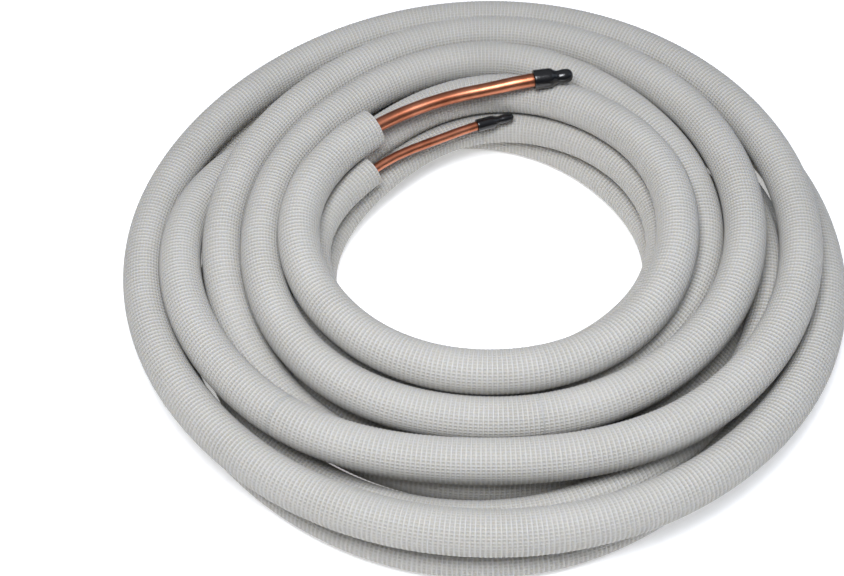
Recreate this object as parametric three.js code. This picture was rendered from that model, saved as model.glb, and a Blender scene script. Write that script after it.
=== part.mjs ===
// A coiled twin copper line set for a split air conditioner: a suction tube and a liquid tube, each in its
// own foam sleeve, wound together turn by turn, with a pinched vinyl cap on each bare tube end.
// Millimetres, +Z up. The coil lies on the level plane z = 0, with the middle of its outline at the origin.
import * as THREE from "three";

// Driving dimensions
const SUCTION_OD = 9.52; // 3/8 in copper tube
const LIQUID_OD = 6.35; // 1/4 in copper tube
const COPPER_WALL = 0.8;
const SUCTION_FOAM = 8.5; // wall of the suction tube's sleeve
const LIQUID_FOAM = 7.1; // wall of the liquid tube's sleeve
const FOAM_FIT = 0.2; // radial play of a tube in its sleeve
const EYE_RADIUS = 96; // from the coil's axis to the skin of its innermost column
const LAY_GAP = 0.6; // air between turns that lie against each other
const SUCTION_CAP_WALL = 1.6;
const LIQUID_CAP_WALL = 0.95;
const CAP_FIT = 0.3; // play of a cap on its tube
const CAP_GRIP = 10; // how far a cap reaches over its tube
const CAP_NOSE = 17; // closed and pinched length of a cap past the tube's end
const CAP_WAIST = 0.65; // width of the pinch, as a share of the cap's body
const CAP_LOBE = 0.72; // width of the tip beyond the pinch, likewise

// How finely the lay is settled and the round pieces are cut
const SPOTS_PER_TURN = 40;
const STEPS_PER_TURN = 24;
const SETTLE_ROUNDS = 400;
const SLEEVE_SIDES = 12;
const TUBE_SIDES = 8;
const TUBE_BORE_SIDES = 6;
const CAP_SIDES = 14;

// The lay of each line, told as seats: the eighth of a turn, counted anticlockwise from +X, the column
// outwards from the eye, and the layer upwards from the floor. A column and a layer are one pitch each.
const SUCTION_SEATS = [
  [1.4, 0.9, 2.1], [1.7, 0.3, 2.15], [2, 0.05, 2], [2.5, -0.1, 1.95], [3, 0.05, 1.85],
  [4, 0.45, 1.8], [5, 0.45, 1.75], [6, 0.45, 1.8], [7, 0.45, 1.75], [8, 0.35, 1.8], [9, 0.5, 1.6],
  [10, 0.65, 1.35], [11, 0.45, 0.95], [12, 0.85, 0.35], [13, 0.8, 0.5], [14, 0.65, 0.55], [15, 0.7, 0.8],
  [16, 1.05, 1], [17, 1.45, 1.15], [18, 1.9, 1.35], [19, 1.55, 1.3], [20, 1.4, 1.4], [21, 1.45, 1.35],
  [22, 1.3, 1.3], [23, 1.55, 1.35], [24, 1.95, 1.35], [25, 2.4, 1.45], [26, 2.9, 1.35], [27, 2.55, 1.25],
  [28, 2.35, 1.15], [29, 2.2, 0.4], [30, 2.15, 0.25], [31, 1.85, 0], [32, 1.8, 0.05], [33, 1.8, 0.15],
  [34, 2.15, 0.35], [35, 2.85, 0], [36, 3.35, 1.05], [37, 2.9, 1.2], [38, 2.3, 1.25], [39, 2.8, 1.25],
  [40, 3.25, 1.2], [41, 3.55, 1.2], [42, 3.9, 1.05], [43, 4, 0.9], [44, 4.15, 0.75], [45, 3.85, 0.8],
  [46, 3.75, 0.9], [47, 3.75, 0.6], [48, 3.9, 0.15], [49, 4.05, 0], [49.4, 4.05, 0], [49.8, 4.05, 0],
];
const LIQUID_SEATS = [
  [1.8, 0, 1.3], [2, -0.25, 1.3], [2.5, -0.6, 1.3], [3.2, -0.4, 1.25], [4, 0.15, 1], [5, 0, 1.05],
  [6, -0.2, 1.05], [7, -0.15, 1.05], [8, 0.1, 0.95], [9, 0.2, 0.85], [10, 0.15, 0.7], [11, -0.25, 0.5],
  [12, 0.1, 0], [13, 0.05, 0.1], [14, 0, 0], [15, 0.05, 0], [16, 0.1, 0], [17, 0.15, 0], [18, 0.6, 0],
  [19, 1.1, 0], [20, 1.7, 0], [21, 1.45, 0], [22, 1.3, 0], [23, 0.95, 0], [24, 0.9, 0], [25, 0.95, 0],
  [26, 1.4, 0], [27, 1.9, 0], [28, 2.65, 0.1], [29, 2.95, 0], [30, 3.1, 0.4], [31, 2.65, 0.45],
  [32, 2.55, 0.65], [33, 2.6, 0.65], [34, 3.05, 0.55], [35, 3.8, 0.05], [36, 3.8, 0], [37, 3.75, 0],
  [38, 3.85, 0], [39, 3.3, 0], [40, 3.05, 0], [41, 3.05, 0], [42, 3.6, 0], [43, 4.1, 0],
];

// The two lines. Sleeve and tube are told by the eighths of a turn at which they are cut.
const SUCTION = {
  name: "suction",
  seats: SUCTION_SEATS,
  tubeOD: SUCTION_OD,
  sleeveOD: SUCTION_OD + 2 * (FOAM_FIT + SUCTION_FOAM),
  capOD: SUCTION_OD + 2 * (CAP_FIT + SUCTION_CAP_WALL),
  sleeve: [3, 49.4],
  tube: [1.58, 49.63],
};
const LIQUID = {
  name: "liquid",
  seats: LIQUID_SEATS,
  tubeOD: LIQUID_OD,
  sleeveOD: LIQUID_OD + 2 * (FOAM_FIT + LIQUID_FOAM),
  capOD: LIQUID_OD + 2 * (CAP_FIT + LIQUID_CAP_WALL),
  sleeve: [3.2, 42.2],
  tube: [1.99, 42.43],
};

const PITCH = SUCTION.sleeveOD + LAY_GAP;
const SPOT = 8 / SPOTS_PER_TURN; // eighths of a turn
const STEP = 8 / STEPS_PER_TURN;
const SHORTEST_STEP = STEP / 3; // a step that comes nearer than this to a cut is left out

const copper = () => new THREE.MeshStandardMaterial({ color: 0xb87352, roughness: 0.35, metalness: 1 });
const foam = () => new THREE.MeshStandardMaterial({ color: 0xdcdbd6, roughness: 0.8, metalness: 0 });
const vinyl = () => new THREE.MeshStandardMaterial({ color: 0x0b0b0c, roughness: 0.3, metalness: 0 });

// The value of one column of a seat list at a turn position: a cubic that passes each seat with the
// slope between its two neighbours.
function along(seats, column, at) {
  const last = seats.length - 1;
  let i = 0;
  while (i < last - 1 && seats[i + 1][0] <= at) i++;
  const slope = (k) => {
    const a = seats[Math.max(k - 1, 0)];
    const b = seats[Math.min(k + 1, last)];
    return (b[column] - a[column]) / (b[0] - a[0]);
  };
  const span = seats[i + 1][0] - seats[i][0];
  const t = (at - seats[i][0]) / span;
  const t2 = t * t;
  const t3 = t2 * t;
  return (2 * t3 - 3 * t2 + 1) * seats[i][column] + (t3 - 2 * t2 + t) * span * slope(i)
    + (3 * t2 - 2 * t3) * seats[i + 1][column] + (t3 - t2) * span * slope(i + 1);
}

// The spots of a line, one at each settling station: where it is wound to, how far it has given way
// from there outwards and upwards, and how thick it is.
function spotsOf(line) {
  const spots = [];
  const last = Math.round(line.seats.at(-1)[0] / SPOT);
  for (let k = Math.round(line.seats[0][0] / SPOT); k <= last; k++) {
    const at = k * SPOT;
    const bare = at < line.sleeve[0] || at > line.sleeve[1];
    spots.push({
      line,
      k,
      radius: EYE_RADIUS + PITCH * (0.5 + along(line.seats, 1, at)),
      height: line.sleeveOD / 2 + PITCH * along(line.seats, 2, at),
      give: [0, 0],
      reach: (bare ? line.capOD : line.sleeveOD) / 2,
    });
  }
  return spots;
}

// All pairs of spots that stand at the same station of the turn, or one station apart.
function neighbours(spots) {
  const pairs = [];
  for (let i = 0; i < spots.length; i++) {
    for (let j = i + 1; j < spots.length; j++) {
      const turned = spots[i].k - spots[j].k;
      const apart = turned - SPOTS_PER_TURN * Math.round(turned / SPOTS_PER_TURN);
      const sameTurn = spots[i].line === spots[j].line && Math.abs(turned) < SPOTS_PER_TURN / 2;
      if (Math.abs(apart) > 1 || sameTurn) continue;
      pairs.push({ a: spots[i], b: spots[j], angle: (apart * 2 * Math.PI) / SPOTS_PER_TURN });
    }
  }
  return pairs;
}

// Settles the lay. Where two spots come closer than the gap, each gives way by a quarter of what is
// missing. The floor holds every spot up, and what a spot gives way is eased into the spots beside it.
function settle(lines) {
  const rows = lines.map(spotsOf);
  const spots = rows.flat();
  const pairs = neighbours(spots);
  const share = 0.25;
  const ease = 0.1;
  for (let round = 0; round < SETTLE_ROUNDS; round++) {
    for (const spot of spots) spot.push = [0, 0];
    for (const { a, b, angle } of pairs) {
      const radiusA = a.radius + a.give[0];
      const radiusB = b.radius + b.give[0];
      const up = a.height + a.give[1] - b.height - b.give[1];
      const across = radiusA * radiusA + radiusB * radiusB - 2 * radiusA * radiusB * Math.cos(angle);
      const distance = Math.sqrt(across + up * up);
      const missing = a.reach + b.reach + LAY_GAP - distance;
      if (missing <= 0) continue;
      const by = (share * missing) / distance;
      a.push[0] += by * (radiusA - radiusB * Math.cos(angle));
      b.push[0] += by * (radiusB - radiusA * Math.cos(angle));
      a.push[1] += by * up;
      b.push[1] -= by * up;
    }
    for (const row of rows) {
      const given = row.map((spot) => [...spot.give]);
      row.forEach((spot, i) => {
        const before = given[Math.max(i - 1, 0)];
        const after = given[Math.min(i + 1, row.length - 1)];
        for (const way of [0, 1]) {
          spot.give[way] += spot.push[way] + ease * ((before[way] + after[way]) / 2 - given[i][way]);
        }
        spot.give[1] = Math.max(spot.give[1], spot.reach - spot.height);
      });
    }
  }
  lines.forEach((line, n) => {
    line.spots = rows[n].map((spot) => [spot.radius + spot.give[0], spot.height + spot.give[1]]);
    line.firstSpot = rows[n][0].k;
  });
}

// The centre line of a settled line at a turn position.
function centreAt(line, at) {
  const k = at / SPOT - line.firstSpot;
  const i = Math.min(Math.max(Math.floor(k), 0), line.spots.length - 2);
  const [radius, height] = [0, 1].map((n) => line.spots[i][n] + (k - i) * (line.spots[i + 1][n] - line.spots[i][n]));
  const angle = (at * Math.PI) / 4;
  return new THREE.Vector3(radius * Math.cos(angle), radius * Math.sin(angle), height);
}

// The turn positions at which a piece is cut into straight lengths: its own ends, the ends of what lies
// in it, and every step that all pieces share, so that a tube and its sleeve bend at the same places.
function stationsFrom(first, last, also = []) {
  const list = [first, ...also, last];
  for (let k = Math.ceil(first / STEP); k * STEP < last; k++) {
    if (list.every((at) => Math.abs(at - k * STEP) > SHORTEST_STEP)) list.push(k * STEP);
  }
  return list.sort((a, b) => a - b);
}

// A path through given stations, with its section kept upright and square to the path.
class LayPath extends THREE.Curve {
  constructor(line, stations) {
    super();
    this.points = stations.map((at) => centreAt(line, at));
  }
  getSpacedPoints() {
    return this.points;
  }
  computeFrenetFrames() {
    const frames = { tangents: [], normals: [], binormals: [] };
    const last = this.points.length - 1;
    this.points.forEach((point, i) => {
      const before = this.points[Math.max(i - 1, 0)];
      const tangent = this.points[Math.min(i + 1, last)].clone().sub(before).normalize();
      const normal = new THREE.Vector3(0, 0, 1).addScaledVector(tangent, -tangent.z).normalize();
      frames.tangents.push(tangent);
      frames.normals.push(normal);
      frames.binormals.push(tangent.clone().cross(normal));
    });
    return frames;
  }
}

// A regular outline with its corners on a circle and a flat side facing down.
function ring(path, diameter, sides) {
  for (let k = 0; k < sides; k++) {
    const angle = ((k + 0.5) * 2 * Math.PI) / sides;
    const point = [(diameter / 2) * Math.cos(angle), (diameter / 2) * Math.sin(angle)];
    if (k) path.lineTo(...point);
    else path.moveTo(...point);
  }
  path.closePath();
  return path;
}

// A hollow round section carried along the lay.
function hollow(name, material, path, outerOD, outerSides, boreOD, boreSides) {
  const section = ring(new THREE.Shape(), outerOD, outerSides);
  section.holes.push(ring(new THREE.Path(), boreOD, boreSides));
  const steps = path.points.length - 1;
  const mesh = new THREE.Mesh(new THREE.ExtrudeGeometry(section, { steps, extrudePath: path }), material);
  mesh.name = name;
  return mesh;
}

// A vinyl cap: a socket over the tube's end, a pinched waist and a rounded tip, turned about its axis.
function capSolid(line) {
  const bore = line.tubeOD / 2 + CAP_FIT;
  const body = line.capOD / 2;
  const waist = body * CAP_WAIST;
  const lobe = body * CAP_LOBE;
  const profile = [
    [0, CAP_FIT],
    [bore, CAP_FIT],
    [bore, -CAP_GRIP],
    [body, -CAP_GRIP],
    [body, CAP_FIT],
    [waist, CAP_NOSE * 0.3],
    [waist, CAP_NOSE * 0.45],
    [lobe, CAP_NOSE * 0.6],
    [lobe * 0.9, CAP_NOSE * 0.88],
    [lobe * 0.5, CAP_NOSE],
    [0, CAP_NOSE],
  ].map(([r, z]) => new THREE.Vector2(r, z));
  return new THREE.LatheGeometry(profile, CAP_SIDES);
}

// A cap on one end of a tube, in line with the tube's last straight length.
function cap(name, line, end, inner) {
  const mesh = new THREE.Mesh(capSolid(line), vinyl());
  mesh.name = name;
  mesh.position.copy(end);
  mesh.quaternion.setFromUnitVectors(new THREE.Vector3(0, 1, 0), end.clone().sub(inner).normalize());
  return mesh;
}

// One line of the set: its copper tube, its foam sleeve and the caps on both tube ends.
function pieces(line) {
  const tubePath = new LayPath(line, stationsFrom(...line.tube, line.sleeve));
  const sleevePath = new LayPath(line, stationsFrom(...line.sleeve));
  const bore = line.tubeOD + 2 * FOAM_FIT;
  const copperBore = line.tubeOD - 2 * COPPER_WALL;
  const { points } = tubePath;
  return [
    hollow(line.name + "_tube", copper(), tubePath, line.tubeOD, TUBE_SIDES, copperBore, TUBE_BORE_SIDES),
    hollow(line.name + "_insulation", foam(), sleevePath, line.sleeveOD, SLEEVE_SIDES, bore, TUBE_SIDES),
    cap(line.name + "_cap_near", line, points[0], points[1]),
    cap(line.name + "_cap_far", line, points.at(-1), points.at(-2)),
  ];
}

// The coil, moved so that it stands on the floor with the middle of its outline at the origin.
settle([SUCTION, LIQUID]);
const coil = new THREE.Group();
coil.add(...pieces(SUCTION), ...pieces(LIQUID));
const outline = new THREE.Box3().setFromObject(coil, true);
const middle = outline.getCenter(new THREE.Vector3());
coil.position.set(-middle.x, -middle.y, -outline.min.z);

const lineSet = new THREE.Group();
lineSet.add(coil);

export default lineSet;
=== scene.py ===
# A coiled mini split line set: two copper tubes, each in its own embossed foam sleeve, with capped ends.
# Everything is in metres, in the object's own frame. The coil lies on z = 0.
import math
import bpy
import numpy as np
from mathutils import Matrix


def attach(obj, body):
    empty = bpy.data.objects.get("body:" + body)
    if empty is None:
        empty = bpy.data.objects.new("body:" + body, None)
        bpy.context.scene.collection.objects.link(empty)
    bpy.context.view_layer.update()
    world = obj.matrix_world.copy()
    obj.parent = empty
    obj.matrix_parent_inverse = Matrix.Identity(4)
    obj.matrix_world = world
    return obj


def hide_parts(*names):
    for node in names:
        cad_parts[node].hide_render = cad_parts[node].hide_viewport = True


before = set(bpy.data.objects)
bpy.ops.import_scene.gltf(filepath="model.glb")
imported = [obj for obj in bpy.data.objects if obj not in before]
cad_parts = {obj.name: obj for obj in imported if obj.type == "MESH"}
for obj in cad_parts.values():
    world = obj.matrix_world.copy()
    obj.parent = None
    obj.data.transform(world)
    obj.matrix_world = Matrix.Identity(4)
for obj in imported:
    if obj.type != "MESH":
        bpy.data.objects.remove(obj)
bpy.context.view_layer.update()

# The lay of both lines, which the soft copper keeps once it is bent.
# Each line is wound by hand, turn over turn, and its seats say where: the eighth of a turn, anticlockwise
# from +X, the column outwards from the eye and the layer up from the floor, in pitches of the broad sleeve.
MM = 0.001
EIGHTH = math.pi / 4  # of a turn
SUCTION_OD = 9.52 * MM  # 3/8 in tube
LIQUID_OD = 6.35 * MM  # 1/4 in tube
SUCTION_FOAM = 8.5 * MM  # wall of the sleeve
LIQUID_FOAM = 7.1 * MM
FOAM_FIT = 0.2 * MM  # between a tube and its sleeve
SUCTION_CAP_WALL = 1.6 * MM
LIQUID_CAP_WALL = 0.95 * MM
CAP_FIT = 0.3 * MM
SUCTION_CUTS = {"sleeve": (3, 49.4), "tube": (1.58, 49.63)}  # eighths of a turn
LIQUID_CUTS = {"sleeve": (3.2, 42.2), "tube": (1.99, 42.43)}
EYE_RADIUS = 96 * MM
LAY_GAP = 0.6 * MM  # between two turns
SPOTS_PER_TURN = 40
SETTLE_ROUNDS = 400
SETTLE_SHARE = 0.25  # of what is missing, by which each of two spots gives way in a round
SETTLE_EASE = 0.1  # of the way towards what the spots beside it give
SUCTION_SEATS = [
    [1.4, 0.9, 2.1], [1.7, 0.3, 2.15], [2, 0.05, 2], [2.5, -0.1, 1.95], [3, 0.05, 1.85],
    [4, 0.45, 1.8], [5, 0.45, 1.75], [6, 0.45, 1.8], [7, 0.45, 1.75], [8, 0.35, 1.8], [9, 0.5, 1.6],
    [10, 0.65, 1.35], [11, 0.45, 0.95], [12, 0.85, 0.35], [13, 0.8, 0.5], [14, 0.65, 0.55], [15, 0.7, 0.8],
    [16, 1.05, 1], [17, 1.45, 1.15], [18, 1.9, 1.35], [19, 1.55, 1.3], [20, 1.4, 1.4], [21, 1.45, 1.35],
    [22, 1.3, 1.3], [23, 1.55, 1.35], [24, 1.95, 1.35], [25, 2.4, 1.45], [26, 2.9, 1.35], [27, 2.55, 1.25],
    [28, 2.35, 1.15], [29, 2.2, 0.4], [30, 2.15, 0.25], [31, 1.85, 0], [32, 1.8, 0.05], [33, 1.8, 0.15],
    [34, 2.15, 0.35], [35, 2.85, 0], [36, 3.35, 1.05], [37, 2.9, 1.2], [38, 2.3, 1.25], [39, 2.8, 1.25],
    [40, 3.25, 1.2], [41, 3.55, 1.2], [42, 3.9, 1.05], [43, 4, 0.9], [44, 4.15, 0.75], [45, 3.85, 0.8],
    [46, 3.75, 0.9], [47, 3.75, 0.6], [48, 3.9, 0.15], [49, 4.05, 0], [49.4, 4.05, 0], [49.8, 4.05, 0],
]
LIQUID_SEATS = [
    [1.8, 0, 1.3], [2, -0.25, 1.3], [2.5, -0.6, 1.3], [3.2, -0.4, 1.25], [4, 0.15, 1], [5, 0, 1.05],
    [6, -0.2, 1.05], [7, -0.15, 1.05], [8, 0.1, 0.95], [9, 0.2, 0.85], [10, 0.15, 0.7], [11, -0.25, 0.5],
    [12, 0.1, 0], [13, 0.05, 0.1], [14, 0, 0], [15, 0.05, 0], [16, 0.1, 0], [17, 0.15, 0], [18, 0.6, 0],
    [19, 1.1, 0], [20, 1.7, 0], [21, 1.45, 0], [22, 1.3, 0], [23, 0.95, 0], [24, 0.9, 0], [25, 0.95, 0],
    [26, 1.4, 0], [27, 1.9, 0], [28, 2.65, 0.1], [29, 2.95, 0], [30, 3.1, 0.4], [31, 2.65, 0.45],
    [32, 2.55, 0.65], [33, 2.6, 0.65], [34, 3.05, 0.55], [35, 3.8, 0.05], [36, 3.8, 0], [37, 3.75, 0],
    [38, 3.85, 0], [39, 3.3, 0], [40, 3.05, 0], [41, 3.05, 0], [42, 3.6, 0], [43, 4.1, 0],
]


def line_set_member(name, seats, tube_od, foam_wall, cap_wall, cuts):
    """The sizes of one line. The cuts say where its sleeve and its tube begin and end."""
    return {
        "name": name,
        "seats": np.array(seats),
        "tube_radius": tube_od / 2,
        "sleeve_radius": tube_od / 2 + FOAM_FIT + foam_wall,
        "cap_radius": tube_od / 2 + CAP_FIT + cap_wall,
        **cuts,
    }


suction = line_set_member("suction", SUCTION_SEATS, SUCTION_OD, SUCTION_FOAM, SUCTION_CAP_WALL, SUCTION_CUTS)
liquid = line_set_member("liquid", LIQUID_SEATS, LIQUID_OD, LIQUID_FOAM, LIQUID_CAP_WALL, LIQUID_CUTS)
PITCH = 2 * suction["sleeve_radius"] + LAY_GAP
SPOT = 8 / SPOTS_PER_TURN  # eighths of a turn from one spot to the next


def through(stations, values, at):
    """A cubic through each value, with the slope between its two neighbours."""
    slope = np.empty_like(values)
    slope[1:-1] = (values[2:] - values[:-2]) / (stations[2:] - stations[:-2])
    slope[0] = (values[1] - values[0]) / (stations[1] - stations[0])
    slope[-1] = (values[-1] - values[-2]) / (stations[-1] - stations[-2])
    i = np.clip(np.searchsorted(stations, at, side="right") - 1, 0, len(stations) - 2)
    span = stations[i + 1] - stations[i]
    t = (at - stations[i]) / span
    start = (2 * t**3 - 3 * t**2 + 1) * values[i] + (t**3 - 2 * t**2 + t) * span * slope[i]
    return start + (3 * t**2 - 2 * t**3) * values[i + 1] + (t**3 - t**2) * span * slope[i + 1]


def settle(lines):
    """Works out every spot of the lay, from seats whose column 0 lies half a pitch out from the eye. Two
    spots closer than the gap each give way by a share of what is missing, the floor holds all of them up,
    and what a spot gives way is eased into the spots beside it."""
    stations, radius, height, reach, member = [], [], [], [], []
    for n, line in enumerate(lines):
        seats = line["seats"]
        k = np.arange(round(seats[0, 0] / SPOT), round(seats[-1, 0] / SPOT) + 1)
        at = k * SPOT
        bare = (at < line["sleeve"][0] - SPOT / 2) | (at > line["sleeve"][1] + SPOT / 2)
        stations.append(k)
        radius.append(EYE_RADIUS + PITCH * (0.5 + through(seats[:, 0], seats[:, 1], at)))
        height.append(line["sleeve_radius"] + PITCH * through(seats[:, 0], seats[:, 2], at))
        reach.append(np.where(bare, line["cap_radius"], line["sleeve_radius"]))
        member.append(np.full(len(k), n))
    first = len(stations[0])
    k, radius, height, reach, member = map(np.concatenate, (stations, radius, height, reach, member))
    i, j = np.triu_indices(len(k), 1)
    turned = k[i] - k[j]
    apart = turned - SPOTS_PER_TURN * np.round(turned / SPOTS_PER_TURN)
    same_turn = (member[i] == member[j]) & (np.abs(turned) < SPOTS_PER_TURN / 2)
    near = (np.abs(apart) <= 1) & ~same_turn
    i, j = i[near], j[near]
    cosine = np.cos(apart[near] * 2 * np.pi / SPOTS_PER_TURN)
    index = np.arange(len(k))
    before = np.where((index == 0) | (index == first), index, index - 1)
    after = np.where((index == first - 1) | (index == len(k) - 1), index, index + 1)
    give = np.zeros((2, len(k)))
    for _ in range(SETTLE_ROUNDS):
        a, b = radius[i] + give[0, i], radius[j] + give[0, j]
        up = height[i] + give[1, i] - height[j] - give[1, j]
        distance = np.sqrt(a * a + b * b - 2 * a * b * cosine + up * up)
        by = SETTLE_SHARE * np.maximum(0, reach[i] + reach[j] + LAY_GAP - distance) / distance
        push = np.zeros_like(give)
        np.add.at(push[0], i, by * (a - b * cosine))
        np.add.at(push[0], j, by * (b - a * cosine))
        np.add.at(push[1], i, by * up)
        np.add.at(push[1], j, -by * up)
        give += push + SETTLE_EASE * ((give[:, before] + give[:, after]) / 2 - give)
        give[1] = np.maximum(give[1], reach - height)
    radius, height = radius + give[0], height + give[1]
    for line, part in zip(lines, (slice(0, first), slice(first, None))):
        line["spots"] = (k[part] * SPOT, radius[part], height[part])


def centre_line(line, at):
    """Points of a line's axis: its radius and height are cubics through the settled spots, turned by the
    turn position."""
    stations, radius, height = line["spots"]
    r, z = through(stations, radius, at), through(stations, height, at)
    return np.stack([r * np.cos(at * EIGHTH), r * np.sin(at * EIGHTH), z], -1)


settle([suction, liquid])

# The origin: the middle of the coil's outline, on the floor.
# The outline is that of the plain solids of the same lay, whose sleeves have flat sides and straight
# steps. No cut end reaches it.
SOLID_SIDES = 12
SOLID_STEPS_PER_TURN = 24


def round_sections(centres, along, radii, angles):
    """Rings of points square to a direction: centre + radius * (cos(angle) * upward + sin(angle) *
    sideways). Upward is the vertical less its part along the direction, and sideways is square to both."""
    upward = np.array([0, 0, 1]) - along * along[:, 2:]
    upward /= np.linalg.norm(upward, axis=1, keepdims=True)
    sideways = np.cross(along, upward)
    rise = np.cos(angles)[None, :, None] * upward[:, None]
    swing = np.sin(angles)[None, :, None] * sideways[:, None]
    return centres[:, None] + radii[:, None, None] * (rise + swing)


def rings_along(path, radius, angles):
    """Round sections of one radius, square to the path at each of its points."""
    along = np.gradient(path, axis=0)
    along /= np.linalg.norm(along, axis=1, keepdims=True)
    return round_sections(path, along, np.full(len(path), radius), angles)


step = 8 / SOLID_STEPS_PER_TURN
corners = (np.arange(SOLID_SIDES) + 0.5) * 2 * np.pi / SOLID_SIDES
outline = []
for line in (suction, liquid):
    start, end = line["sleeve"]
    stations = np.arange(math.ceil(start / step), end / step) * step
    outline.append(rings_along(centre_line(line, stations), line["sleeve_radius"], corners).reshape(-1, 3))
low, high = np.concatenate(outline).min(0), np.concatenate(outline).max(0)
EYE = np.array([-(low[0] + high[0]) / 2, -(low[1] + high[1]) / 2, -low[2]])

# The copper tubes, soft drawn and bent by hand into the lay.
# They run the whole length of their sleeves and stand out bare at both ends, satin bright with faint
# drawing lines along them and a little browner where they have been handled.
COPPER_WALL = 0.8 * MM
COPPER_SIDES = 20
COPPER_STEP = 12 * MM
PATH_SAMPLES = 4000
COPPER_BROWN = (0.36, 0.12, 0.062, 1)
COPPER_BRIGHT = (0.52, 0.20, 0.115, 1)
TARNISH_EDGES = (0.35, 0.68)  # values of the noise for brown and for bright
TARNISH_CLOUDS = 60  # to the metre
DRAWN_LINES = 40  # around the tube
DRAWN_LINE_BREAKS = 0.6  # to each length of the tube's girth
DRAWN_DEPTH = 0.05 * MM


def even_path(line, first, last, spacing):
    """Points of a line's axis from one turn position to another, at an even spacing along the line."""
    fine = np.linspace(first, last, PATH_SAMPLES)
    points = centre_line(line, fine) + EYE
    run = np.concatenate([[0], np.cumsum(np.linalg.norm(np.diff(points, axis=0), axis=1))])
    count = max(2, round(run[-1] / spacing)) + 1
    return centre_line(line, np.interp(np.linspace(0, run[-1], count), run, fine)) + EYE


def skin(rings, rows, u, v):
    """Joins rings of equal size into a closed wall that ends where it began. The rows say from which ring
    to which each strip of faces runs. Gives triangles and their UVs, u around the section and v along the
    path."""
    count = rings.shape[1]
    j = np.arange(count)
    a, b = rows[:, :1] * count + j, rows[:, :1] * count + (j + 1) % count
    c, d = rows[:, 1:] * count + (j + 1) % count, rows[:, 1:] * count + j
    triangles = np.stack([np.stack([a, b, c], -1), np.stack([a, c, d], -1)], 2).reshape(-1, 3)
    v0, v1 = np.broadcast_to(v[rows[:, :1]], a.shape), np.broadcast_to(v[rows[:, 1:]], a.shape)
    u0, u1 = np.broadcast_to(u[j], a.shape), np.broadcast_to(u[j + 1], a.shape)
    uv = [np.stack([x, y], -1) for x, y in ((u0, v0), (u1, v0), (u1, v1), (u0, v1))]
    faces = np.stack([np.stack([uv[0], uv[1], uv[2]], 2), np.stack([uv[0], uv[2], uv[3]], 2)], 2)
    return triangles, faces.reshape(-1, 2)


def add_piece(name, vertices, triangles, uvs, finish, node, flat=()):
    """Puts a closed triangle mesh into the scene as one piece that stands for a CAD node. The triangles
    whose numbers are in flat are shaded flat, which keeps the edge round a cut end crisp."""
    mesh = bpy.data.meshes.new(name)
    mesh.vertices.add(len(vertices))
    mesh.vertices.foreach_set("co", np.ascontiguousarray(vertices, np.float32).ravel())
    mesh.loops.add(triangles.size)
    mesh.loops.foreach_set("vertex_index", np.ascontiguousarray(triangles, np.int32).ravel())
    mesh.polygons.add(len(triangles))
    mesh.polygons.foreach_set("loop_start", np.arange(0, triangles.size, 3, dtype=np.int32))
    layer = mesh.uv_layers.new(name="along")
    layer.data.foreach_set("uv", np.ascontiguousarray(uvs, np.float32).ravel())
    mesh.update(calc_edges=True)
    smooth = np.ones(len(triangles), bool)
    smooth[list(flat)] = False
    mesh.polygons.foreach_set("use_smooth", smooth)
    mesh.materials.append(finish)
    piece = bpy.data.objects.new(name, mesh)
    bpy.context.scene.collection.objects.link(piece)
    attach(piece, "root")
    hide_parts(node)


def nodes_of(material):
    """A short way to add nodes to a material: a function that makes one and links its inputs."""
    tree = material.node_tree

    def add(kind, links=None, **settings):
        node = tree.nodes.new("ShaderNode" + kind)
        for key, value in settings.items():
            setattr(node, key, value)
        for key, value in (links or {}).items():
            if isinstance(value, bpy.types.NodeSocket):
                tree.links.new(value, node.inputs[key])
            else:
                node.inputs[key].default_value = value
        return node

    return add


def new_finish(name):
    """A material with its shader, and the function that adds nodes to it."""
    material = bpy.data.materials.new(name)
    material.use_nodes = True
    return material, material.node_tree.nodes["Principled BSDF"], nodes_of(material)


def copper_finish():
    """Satin metal. Noise stretched along the tube gives the drawing lines, and broad noise the tarnish."""
    material, shader, add = new_finish("drawn_copper")
    along = add("UVMap", uv_map="along")
    place = add("TexCoord")
    stretch = (DRAWN_LINES, DRAWN_LINE_BREAKS, 1)
    lines = add("Mapping", {"Vector": along.outputs["UV"], "Scale": stretch})
    streak = add("TexNoise", {"Vector": lines.outputs["Vector"], "Scale": 1, "Detail": 3})
    clouds = {"Vector": place.outputs["Object"], "Scale": TARNISH_CLOUDS, "Detail": 4, "Roughness": 0.6}
    cloud = add("TexNoise", clouds)
    tone = add("ValToRGB", {"Fac": cloud.outputs["Fac"]})
    stops = list(tone.color_ramp.elements)
    for stop, edge, colour in zip(stops, TARNISH_EDGES, (COPPER_BROWN, COPPER_BRIGHT)):
        stop.position = edge
        stop.color = colour
    rough = add("MapRange", {"Value": streak.outputs["Fac"], "To Min": 0.24, "To Max": 0.42})
    relief = add("Bump", {"Height": streak.outputs["Fac"], "Strength": 0.25, "Distance": DRAWN_DEPTH})
    links = material.node_tree.links
    links.new(tone.outputs["Color"], shader.inputs["Base Color"])
    links.new(rough.outputs["Result"], shader.inputs["Roughness"])
    links.new(relief.outputs["Normal"], shader.inputs["Normal"])
    shader.inputs["Metallic"].default_value = 1.0
    return material


drawn_copper = copper_finish()


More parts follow.
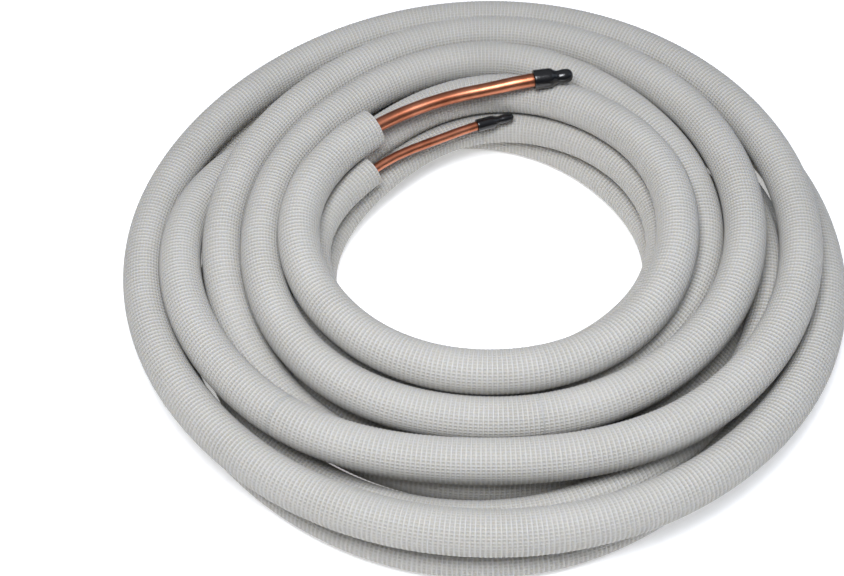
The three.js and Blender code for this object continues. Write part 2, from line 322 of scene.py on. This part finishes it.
def copper_tube(line):
    """A wall carried along the lay: out along the outer skin, back along the bore, and round both ends."""
    path = even_path(line, *line["tube"], COPPER_STEP)
    angles = np.arange(COPPER_SIDES) * 2 * np.pi / COPPER_SIDES
    outer = rings_along(path, line["tube_radius"], angles)
    bore = rings_along(path, line["tube_radius"] - COPPER_WALL, angles)[::-1]
    rings = np.concatenate([outer, bore])
    index = np.arange(len(rings))
    rows = np.stack([index, (index + 1) % len(rings)], -1)
    run = np.arange(len(path)) * COPPER_STEP / (2 * np.pi * line["tube_radius"])
    u = np.arange(COPPER_SIDES + 1) / COPPER_SIDES
    triangles, uvs = skin(rings, rows, u, np.concatenate([run, run[::-1]]))
    name = line["name"] + "_tube"
    add_piece(name + "_drawn", rings.reshape(-1, 3), triangles, uvs, drawn_copper, name)


copper_tube(suction)
copper_tube(liquid)

# The foam sleeves: closed-cell polyethylene, extruded as a tube, its skin rolled with raised rings and
# lower ribs that leave a small pit in each cell. They are slid over the whole tube and cut square. Each
# is made here in equal lengths that join ring to ring, and flattens a little where it lies on the floor.
SUCTION_LENGTHS = 3
LIQUID_LENGTHS = 2
RING_PITCH = 2.75 * MM
SUCTION_RIBS = 40  # around the sleeve
LIQUID_RIBS = 31
RIB_DROP = 0.3 * MM  # of a rib between two rings, below the rings
PIT_DROP = 0.75 * MM
RINGS_PER_BORE_STEP = 12
FOAM_RIDGE = (0.50, 0.488, 0.462, 1)
# Painted shade in the pits: darker and warmer than the foam's own colour on the rings.
FOAM_PIT_SHADE = (0.40, 0.385, 0.342, 1)
FOAM_SCATTER = (0.006, 0.0045, 0.0025)
PIT_FLOOR, PIT_EDGE = 0.12, 0.46  # from the middle of a cell, as a share of it
BESIDE_A_RIB = 0.45  # depth of the pattern on a rib, as a share of a pit's
PIT_SPREAD = (0.55, 1.15)  # least and greatest depth from place to place
FOAM_CLOUDS = 22  # to the metre


def foam_finish():
    """Matte white skin. The UV map counts ribs across and rings along. Each pit is a smooth step in from
    the rings, times a weaker one in from the ribs. It paints shade into the pits as a darker, warmer colour
    and bumps the rings up."""
    material, shader, add = new_finish("embossed_foam")
    count = add("UVMap", uv_map="along")
    axes = add("SeparateXYZ", {"Vector": count.outputs["UV"]})
    steps = []
    for axis, least in (("X", BESIDE_A_RIB), ("Y", 0)):
        part = add("Math", {0: axes.outputs[axis]}, operation="FRACT")
        off = add("Math", {0: part.outputs[0], 1: 0.5}, operation="SUBTRACT")
        wide = add("Math", {0: off.outputs[0]}, operation="ABSOLUTE")
        inside = {"Value": wide.outputs[0], "From Min": PIT_FLOOR, "From Max": PIT_EDGE}
        outside = {"To Min": 1, "To Max": least}
        steps.append(add("MapRange", {**inside, **outside}, interpolation_type="SMOOTHSTEP"))
    pit = add("Math", {0: steps[0].outputs["Result"], 1: steps[1].outputs["Result"]}, operation="MULTIPLY")
    place = add("TexCoord")
    cloud = add("TexNoise", {"Vector": place.outputs["Object"], "Scale": FOAM_CLOUDS, "Detail": 3})
    spread = {"To Min": PIT_SPREAD[0], "To Max": PIT_SPREAD[1]}
    uneven = add("MapRange", {"Value": cloud.outputs["Fac"], **spread})
    depth = add("Math", {0: pit.outputs[0], 1: uneven.outputs["Result"]}, operation="MULTIPLY")
    # Painted shade: the pits take a darker, warmer colour than the rings, by the same depth that bumps them.
    tone = add("MixRGB", {"Fac": depth.outputs[0], "Color1": FOAM_RIDGE, "Color2": FOAM_PIT_SHADE})
    height = add("Math", {0: 1.0, 1: depth.outputs[0]}, operation="SUBTRACT")
    relief = add("Bump", {"Height": height.outputs[0], "Strength": 1.0, "Distance": PIT_DROP})
    links = material.node_tree.links
    links.new(tone.outputs["Color"], shader.inputs["Base Color"])
    links.new(relief.outputs["Normal"], shader.inputs["Normal"])
    shader.inputs["Roughness"].default_value = 0.5
    shader.inputs["Specular IOR Level"].default_value = 0.4
    shader.inputs["Subsurface Weight"].default_value = 0.3
    shader.inputs["Subsurface Radius"].default_value = FOAM_SCATTER
    shader.inputs["Subsurface Scale"].default_value = 1.0
    return material


embossed_foam = foam_finish()


def embossed_cells(cells, ribs, rib_start, pit_start, first):
    """Six triangles round the pit of each cell, between two rings and two ribs, and their UVs. Points are
    counted along the rings first, then from rib_start along the ribs and from pit_start in the pits."""
    i, j = np.arange(cells)[:, None], np.arange(ribs)[None, :]
    beside = (j + 1) % ribs
    rim = [
        (i * ribs + j, 0, 0),
        (i * ribs + beside, 1, 0),
        (rib_start + i * ribs + beside, 1, 0.5),
        ((i + 1) * ribs + beside, 1, 1),
        ((i + 1) * ribs + j, 0, 1),
        (rib_start + i * ribs + j, 0, 0.5),
    ]
    middle = pit_start + i * ribs + j
    fan, fan_uv = [], []
    for (a, ua, va), (b, ub, vb) in zip(rim, rim[1:] + rim[:1]):
        fan.append(np.stack([a, b, middle], -1))
        places = [np.broadcast_arrays(j + u, i + v + first) for u, v in ((ua, va), (ub, vb), (0.5, 0.5))]
        fan_uv.append(np.stack([np.stack(place, -1) for place in places], 2))
    return np.stack(fan, 2).reshape(-1, 3), np.stack(fan_uv, 2).reshape(-1, 2)


def foam_sleeve(line, ribs, lengths):
    """A wall carried along the lay. Its outer skin has a row of points on each ring and, halfway between
    two rings, a lower row on the ribs and a sunk row in the pits. The bore is a plain skin with fewer
    rings. The lengths share the ring at which they join."""
    angles = np.arange(ribs) * 2 * np.pi / ribs
    path = even_path(line, *line["sleeve"], RING_PITCH)
    cuts = np.linspace(0, len(path) - 1, lengths + 1).round().astype(int)
    for n, (first, last) in enumerate(zip(cuts[:-1], cuts[1:])):
        spots = path[first:last + 1]
        cells = last - first
        halfway = (spots[1:] + spots[:-1]) / 2
        ridge = rings_along(spots, line["sleeve_radius"], angles)
        rib = rings_along(halfway, line["sleeve_radius"] - RIB_DROP, angles)
        pit = rings_along(halfway, line["sleeve_radius"] - PIT_DROP, angles + np.pi / ribs)
        bore_at = np.append(np.arange(0, cells, RINGS_PER_BORE_STEP), cells)[::-1]
        bore = rings_along(spots, line["tube_radius"] + FOAM_FIT, angles)[bore_at]
        rings = np.concatenate([ridge, bore])
        vertices = np.concatenate([part.reshape(-1, 3) for part in (rings, rib, pit)])
        vertices[:, 2] = np.maximum(vertices[:, 2], 0)
        rib_start = len(rings) * ribs
        outer, outer_uv = embossed_cells(cells, ribs, rib_start, rib_start + cells * ribs, first)
        plain = np.arange(cells, len(rings))
        rows = np.stack([plain, (plain + 1) % len(rings)], -1)
        ring_count = np.concatenate([np.arange(cells + 1), bore_at]) + first
        inner, inner_uv = skin(rings, rows, np.arange(ribs + 1.0), ring_count.astype(float))
        triangles = np.concatenate([outer, inner])
        uvs = np.concatenate([outer_uv, inner_uv])
        cut_end = np.arange(2 * ribs)
        flat = np.concatenate([len(outer) + cut_end, len(triangles) - 2 * ribs + cut_end])
        name = f"{line['name']}_sleeve_{n + 1}"
        add_piece(name, vertices, triangles, uvs, embossed_foam, line["name"] + "_insulation", flat)


foam_sleeve(suction, SUCTION_RIBS, SUCTION_LENGTHS)
foam_sleeve(liquid, LIQUID_RIBS, LIQUID_LENGTHS)

# The end caps: dipped black vinyl, pushed over each tube end to keep the bore clean and dry.
# Past the tube's end the soft cap is nipped to a waist, and its tip swells out again.
CAP_GRIP = 10 * MM  # over the tube
CAP_NOSE = 17 * MM  # past the tube's end
CAP_PLAY = 0.05 * MM  # between the tube and the socket
CAP_TIP = 0.25 * MM  # of the pole, past the last ring
CAP_SIDES = 40
GRIP_AT = np.array([-1, -0.97, -0.9, -0.6, -0.3, 0])  # shares of the grip
GRIP_WIDTH = np.array([0.93, 1, 1.01, 1, 1, 1])  # shares of the cap's radius
NOSE_AT = np.array([0.06, 0.13, 0.2, 0.27, 0.34, 0.42, 0.5, 0.6, 0.72, 0.82, 0.9, 0.96, 1])
NOSE_WIDTH = np.array([0.99, 0.95, 0.85, 0.73, 0.66, 0.65, 0.7, 0.74, 0.74, 0.71, 0.63, 0.47, 0.24])
SOCKET_MOUTH = 0.97  # of the grip
SOCKET_FLOOR = 0.1  # inner ring of the socket's floor, as a share of its radius
GRIP_TURN = 0.6  # eighths of a turn, longer than any grip
GRIP_SAMPLES = 200
END_SAMPLES = 4  # over which the tube's direction at its end is taken
VINYL_RIPPLES = 260  # to the metre
VINYL_DEPTH = 0.25 * MM


def vinyl_finish():
    """Glossy black skin with a faint ripple."""
    material, shader, add = new_finish("black_vinyl")
    place = add("TexCoord")
    ripple = add("TexNoise", {"Vector": place.outputs["Object"], "Scale": VINYL_RIPPLES, "Detail": 2})
    gloss = add("MapRange", {"Value": ripple.outputs["Fac"], "To Min": 0.12, "To Max": 0.3})
    relief = add("Bump", {"Height": ripple.outputs["Fac"], "Strength": 0.35, "Distance": VINYL_DEPTH})
    links = material.node_tree.links
    links.new(gloss.outputs["Result"], shader.inputs["Roughness"])
    links.new(relief.outputs["Normal"], shader.inputs["Normal"])
    shader.inputs["Base Color"].default_value = (0.003, 0.003, 0.0035, 1)
    shader.inputs["Coat Weight"].default_value = 0.15
    shader.inputs["Coat Roughness"].default_value = 0.08
    return material


black_vinyl = vinyl_finish()


def end_cap(line, end, inwards, node):
    """A profile turned about the tube's last stretch: its skin out to the tip, then back down the socket.
    The line of its axis follows the tube for the grip and runs on straight past the tube's end."""
    bore = line["tube_radius"] + CAP_PLAY
    at = np.concatenate([GRIP_AT * CAP_GRIP, NOSE_AT * CAP_NOSE, [0, 0, -CAP_GRIP * SOCKET_MOUTH]])
    outer_radii = np.concatenate([GRIP_WIDTH, NOSE_WIDTH]) * line["cap_radius"]
    radii = np.concatenate([outer_radii, [bore * SOCKET_FLOOR, bore, bore]])
    points = centre_line(line, np.linspace(end, end + inwards * GRIP_TURN, GRIP_SAMPLES)) + EYE
    run = np.concatenate([[0], np.cumsum(np.linalg.norm(np.diff(points, axis=0), axis=1))])
    depth = np.maximum(-at, 0)
    on_tube = np.stack([np.interp(depth, run, points[:, n]) for n in range(3)], -1)
    out = points[0] - points[END_SAMPLES]
    out /= np.linalg.norm(out)
    centres = on_tube + np.maximum(at, 0)[:, None] * out
    up_the_tube = np.gradient(points, axis=0)[np.searchsorted(run, depth)]
    along = np.where((at < 0)[:, None], up_the_tube, -out)
    along = -along / np.linalg.norm(along, axis=1, keepdims=True)
    angles = np.arange(CAP_SIDES) * 2 * np.pi / CAP_SIDES
    rings = round_sections(centres, along, radii, angles)
    tip = len(outer_radii) - 1
    socket = tip + 1
    ring = np.arange(len(at))
    rows = np.stack([ring, (ring + 1) % len(at)], -1)[ring != tip]
    triangles, uvs = skin(rings, rows, np.arange(CAP_SIDES + 1) / CAP_SIDES, at / CAP_NOSE)
    poles = np.stack([centres[tip] + out * CAP_TIP, centres[socket]])
    vertices = np.concatenate([rings.reshape(-1, 3), poles])
    j = np.arange(CAP_SIDES)
    beside = (j + 1) % CAP_SIDES
    tip_pole, socket_pole = np.full_like(j, len(vertices) - 2), np.full_like(j, len(vertices) - 1)
    tip_fan = np.stack([tip * CAP_SIDES + j, tip * CAP_SIDES + beside, tip_pole], -1)
    socket_fan = np.stack([socket * CAP_SIDES + beside, socket * CAP_SIDES + j, socket_pole], -1)
    triangles = np.concatenate([triangles, tip_fan, socket_fan])
    uvs = np.concatenate([uvs, np.zeros((2 * CAP_SIDES * 3, 2))])
    add_piece(node + "_vinyl", vertices, triangles, uvs, black_vinyl, node)


for line in (suction, liquid):
    end_cap(line, line["tube"][0], 1, line["name"] + "_cap_near")
    end_cap(line, line["tube"][1], -1, line["name"] + "_cap_far")

# The floor: a plain pale sheet, much wider than the coil that lies on it.
# It gives off a little light of its own, which keeps it white between the turns.
FLOOR_SIZE = 6.0
FLOOR_DARK = (0.93, 0.93, 0.93, 1)
FLOOR_PALE = (0.95, 0.95, 0.95, 1)
FLOOR_GLOW = 0.32


def floor_finish():
    """Plain pale paint with the faintest mottling."""
    material, shader, add = new_finish("pale_floor")
    place = add("TexCoord")
    mottle = add("TexNoise", {"Vector": place.outputs["Object"], "Scale": 3, "Detail": 2})
    tone = add("MixRGB", {"Fac": mottle.outputs["Fac"], "Color1": FLOOR_DARK, "Color2": FLOOR_PALE})
    material.node_tree.links.new(tone.outputs["Color"], shader.inputs["Base Color"])
    shader.inputs["Emission Color"].default_value = (1, 1, 1, 1)
    shader.inputs["Emission Strength"].default_value = FLOOR_GLOW
    shader.inputs["Roughness"].default_value = 0.9
    return material


half = FLOOR_SIZE / 2
floor_corners = [(-half, -half, 0), (half, -half, 0), (half, half, 0), (-half, half, 0)]
sheet = bpy.data.meshes.new("floor")
sheet.from_pydata(floor_corners, [], [(0, 1, 2, 3)])
sheet.materials.append(floor_finish())
floor = bpy.data.objects.new("floor", sheet)
bpy.context.scene.collection.objects.link(floor)

# The light: a soft key lamp above and in front of the coil, and a weak, cool fill lamp from the right.
# Round them is a dome that is brightest overhead, a little warm on the left and cool on the right.
KEY_LAMP = {"place": (-0.06, -0.35, 0.9), "size": 0.4, "watts": 9.8, "colour": (0.96, 0.98, 1.03)}
FILL_LAMP = {"place": (1.3, 0.1, 0.9), "size": 0.8, "watts": 1.5, "colour": (0.72, 0.84, 1.0)}
LEFT_LIGHT = (0.20, 0.17, 0.12, 1)
RIGHT_LIGHT = (0.16, 0.20, 0.30, 1)
TOP_LIGHT = (0.98, 1.02, 1.12, 1)
DOME_LOW, DOME_HIGH = 0.15, 0.95  # upward part of a direction, from the sides' light to the top's
DOME_STRENGTH = 0.48


def soft_light(name, place, size, watts, colour):
    """A square lamp at a place, facing the middle of the coil. Its axes are the direction away from there,
    the level direction square to it, and the one square to both."""
    data = bpy.data.lights.new(name, "AREA")
    data.size = size
    data.energy = watts
    data.color = colour
    lamp = bpy.data.objects.new(name, data)
    bpy.context.scene.collection.objects.link(lamp)
    forward = -np.array(place)
    forward /= np.linalg.norm(forward)
    right = np.cross(forward, (0, 0, 1))
    right /= np.linalg.norm(right)
    matrix = np.eye(4)
    matrix[:3, :3] = np.stack([right, np.cross(right, forward), -forward], -1)
    matrix[:3, 3] = place
    lamp.matrix_world = Matrix(matrix.tolist())


soft_light("key", **KEY_LAMP)
soft_light("fill", **FILL_LAMP)

world = bpy.data.worlds.new("studio")
bpy.context.scene.world = world
world.use_nodes = True
add = nodes_of(world)
direction = add("SeparateXYZ", {"Vector": add("TexCoord").outputs["Generated"]})
sides = add("MapRange", {"Value": direction.outputs["X"], "From Min": -1, "From Max": 1})
around = add("MixRGB", {"Fac": sides.outputs["Result"], "Color1": LEFT_LIGHT, "Color2": RIGHT_LIGHT})
rise = add("MapRange", {"Value": direction.outputs["Z"], "From Min": DOME_LOW, "From Max": DOME_HIGH})
sky = add("MixRGB", {"Fac": rise.outputs["Result"], "Color1": around.outputs["Color"], "Color2": TOP_LIGHT})
background = world.node_tree.nodes["Background"]
world.node_tree.links.new(sky.outputs["Color"], background.inputs["Color"])
background.inputs["Strength"].default_value = DOME_STRENGTH
bpy.context.scene.view_settings.view_transform = "Standard"

# The camera: it stands in front of the coil and looks down on it, as in the photograph.
# It is turned so that the point it aims at, on the coil's axis, falls where the photograph has it.
PHOTO_WIDTH, PHOTO_HEIGHT = 844, 576
FOCAL_PIXELS = 1366
SENSOR_WIDTH = 36  # millimetres, as Blender's lenses are given
ELEVATION = math.radians(49.5)
DISTANCE = 0.9
AIM_HEIGHT = 30 * MM
AIM_PIXEL = (489, 250)
NEAREST_SEEN = 10 * MM

back = np.array([0, -math.cos(ELEVATION), math.sin(ELEVATION)])
stand = EYE + np.array([0, 0, AIM_HEIGHT]) + back * DISTANCE
right, forward = np.array([1.0, 0, 0]), -back
up = np.cross(right, forward)
ray = np.array([AIM_PIXEL[0] - PHOTO_WIDTH / 2, PHOTO_HEIGHT / 2 - AIM_PIXEL[1], -FOCAL_PIXELS], float)
ray /= np.linalg.norm(ray)
yaw, pitch = math.atan2(ray[0], -ray[2]), math.asin(ray[1])


def turned_about(vector, axis, angle):
    """A vector turned about an axis by an angle, by the right hand."""
    level = vector * math.cos(angle) + np.cross(axis, vector) * math.sin(angle)
    return level + axis * (axis @ vector) * (1 - math.cos(angle))


forward, right = turned_about(forward, up, yaw), turned_about(right, up, yaw)
forward, up = turned_about(forward, right, -pitch), turned_about(up, right, -pitch)
lens = bpy.data.cameras.new("camera")
lens.sensor_fit = "HORIZONTAL"
lens.sensor_width = SENSOR_WIDTH
lens.lens = FOCAL_PIXELS / PHOTO_WIDTH * SENSOR_WIDTH
lens.clip_start = NEAREST_SEEN
camera = bpy.data.objects.new("camera", lens)
bpy.context.scene.collection.objects.link(camera)
pose = np.eye(4)
pose[:3, :3] = np.stack([right, up, -forward], -1)
pose[:3, 3] = stand
camera.matrix_world = Matrix(pose.tolist())
bpy.context.scene.camera = camera
